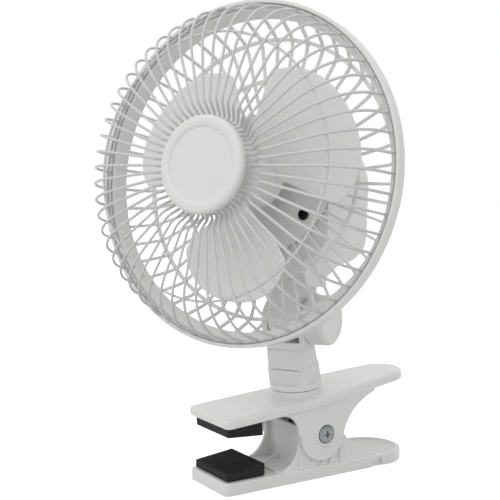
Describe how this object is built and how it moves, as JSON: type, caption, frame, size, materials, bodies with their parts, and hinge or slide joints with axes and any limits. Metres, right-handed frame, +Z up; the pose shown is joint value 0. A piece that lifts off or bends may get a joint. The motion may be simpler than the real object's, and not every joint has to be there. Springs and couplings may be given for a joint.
{
  "type": "clip fan",
  "caption": "Desk fan on a sprung clip: round wire front guard, moulded rear guard, three-blade rotor, motor head on a tilting and swivelling neck.",
  "frame": {"origin": "on the ground under the neck, on the middle rib of the lower jaw's underside", "axes": "+Z up, -Y towards the jaw tips, +X to the side that the fan is turned to and that its pivot screw head is on"},
  "size_m": [0.179, 0.1953, 0.2736],
  "materials": {
    "white_plastic": "white moulded plastic, satin gloss",
    "inner_plastic": "off-white moulded plastic",
    "blade_plastic": "translucent grey-white moulded plastic",
    "coated_wire": "white powder-coated steel wire",
    "black_rubber": "black dimpled rubber",
    "zinc_steel": "bright zinc plate",
    "black_steel": "blackened steel",
    "spring_steel": "dark oiled spring wire",
    "laminated_steel": "bare laminated sheet steel",
    "copper_wire": "enamelled copper winding",
    "bearing_bronze": "sintered bronze",
    "brass_insert": "turned brass"
  },
  "bodies": {
    "base": {"lower_jaw": "white_plastic", "lower_pad": "black_rubber", "pivot_bolt": "zinc_steel", "pivot_nut": "zinc_steel", "pivot_sleeve": "inner_plastic", "torsion_spring": "spring_steel"},
    "lever": {"upper_lever": "white_plastic", "upper_pad": "black_rubber"},
    "neck": {"neck_post": "white_plastic", "swivel_screw": "zinc_steel", "swivel_washer": "zinc_steel", "tilt_bolt": "zinc_steel"},
    "knob": {"tilt_knob": "white_plastic", "knob_insert": "brass_insert"},
    "head": {"motor_housing": "white_plastic", "motor_front_plate": "inner_plastic", "front_bearing": "bearing_bronze", "rear_bearing": "bearing_bronze", "stator": "laminated_steel", "winding_1": "copper_wire", "winding_2": "copper_wire", "winding_3": "copper_wire", "winding_4": "copper_wire", "switch_body": "inner_plastic", "cord_gland": "inner_plastic", "rear_guard": "white_plastic", "guard_screw_1": "black_steel", "guard_screw_2": "black_steel", "guard_screw_3": "black_steel", "guard_screw_4": "black_steel", "front_guard": "coated_wire", "guard_cap": "white_plastic", "cap_clamp": "inner_plastic", "cap_screw": "zinc_steel"},
    "rotor": {"motor_shaft": "zinc_steel", "rotor_core": "laminated_steel", "fan_blades": "blade_plastic", "blade_nut": "inner_plastic"},
    "speed_dial": {"speed_knob": "white_plastic"}
  },
  "joints": [
    {"name": "clip_open", "type": "hinge", "parent": "base", "child": "lever", "pos_m": [0, 0.0062, 0.0262], "axis": [-1, 0, 0], "range_deg": [0, 28], "stiffness_Nm_per_rad": 0.7, "springref_deg": -91.67, "deforming": ["torsion_spring"]},
    {"name": "neck_pan", "type": "hinge", "parent": "lever", "child": "neck", "pos_m": [0, -0.00001, 0.048], "axis": [0, -0.0732, 0.9973], "range_deg": [-115, 65]},
    {"name": "head_tilt", "type": "hinge", "parent": "neck", "child": "head", "pos_m": [0, -0.00331, 0.09288], "axis": [-0.9061, -0.422, -0.031], "range_deg": [-30, 24]},
    {"name": "tilt_knob_turn", "type": "hinge", "parent": "neck", "child": "knob", "pos_m": [0.01812, 0.00513, 0.0935], "axis": [0.9061, 0.422, 0.031], "range_deg": [0, 360]},
    {"name": "rotor_spin", "type": "hinge", "parent": "head", "child": "rotor", "pos_m": [0.02093, -0.05459, 0.17931], "axis": [0.4157, -0.9015, 0.12], "continuous": true},
    {"name": "speed_dial_turn", "type": "hinge", "parent": "head", "child": "speed_dial", "pos_m": [-0.0199, 0.03268, 0.18478], "axis": [0.4157, -0.9015, 0.12], "range_deg": [0, 120]}
  ]
}
